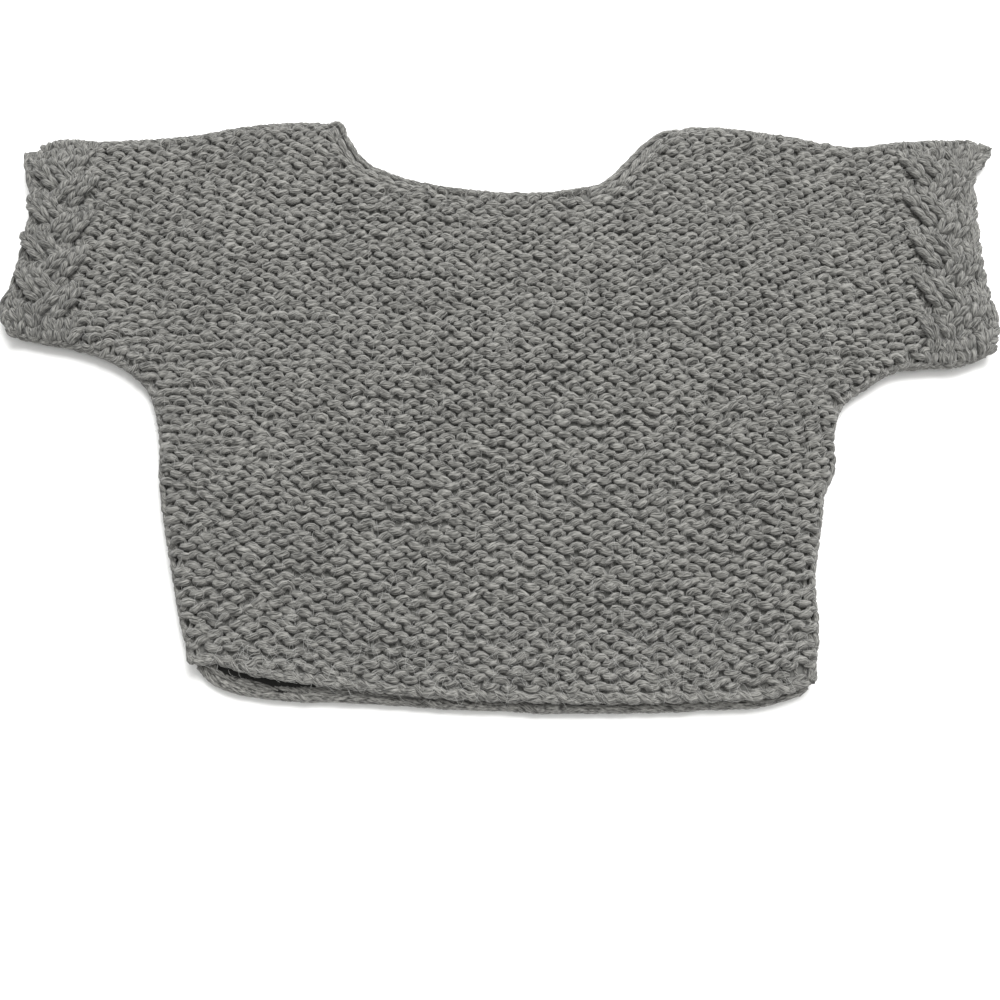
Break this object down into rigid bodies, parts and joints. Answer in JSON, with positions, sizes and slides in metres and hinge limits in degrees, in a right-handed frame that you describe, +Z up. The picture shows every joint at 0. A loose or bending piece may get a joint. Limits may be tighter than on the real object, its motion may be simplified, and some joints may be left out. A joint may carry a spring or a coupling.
{
  "type": "hand-knit sweater",
  "caption": "Cropped, boxy hand-knit sweater with short sleeves, plaited cable cuffs and a wide, shallow neck, laid flat with its front up. It is worn on the upper body.",
  "frame": {"origin": "middle of the garment's bounding box, on the surface it rests on", "axes": "+X across the garment toward the sleeve at the picture's right, +Y from the hem to the shoulders, +Z up from the surface, out of the front"},
  "size_m": [0.739, 0.4568, 0.0225],
  "materials": {
    "body_knit": "matt reverse stockinette in thick, softly twisted mid-grey heather yarn",
    "cable_knit": "matt plaited cable in thick, softly twisted mid-grey heather yarn",
    "edge_knit": "matt columns of knit stitches and a bound-off edge in the same mid-grey heather yarn"
  },
  "bodies": {
    "root": {"front": "body_knit", "back": "body_knit", "cuff_left_front": "cable_knit", "cuff_left_back": "cable_knit", "cuff_right_front": "cable_knit", "cuff_right_back": "cable_knit", "neck_edge_front": "edge_knit", "neck_edge_back": "edge_knit"}
  },
  "joints": []
}
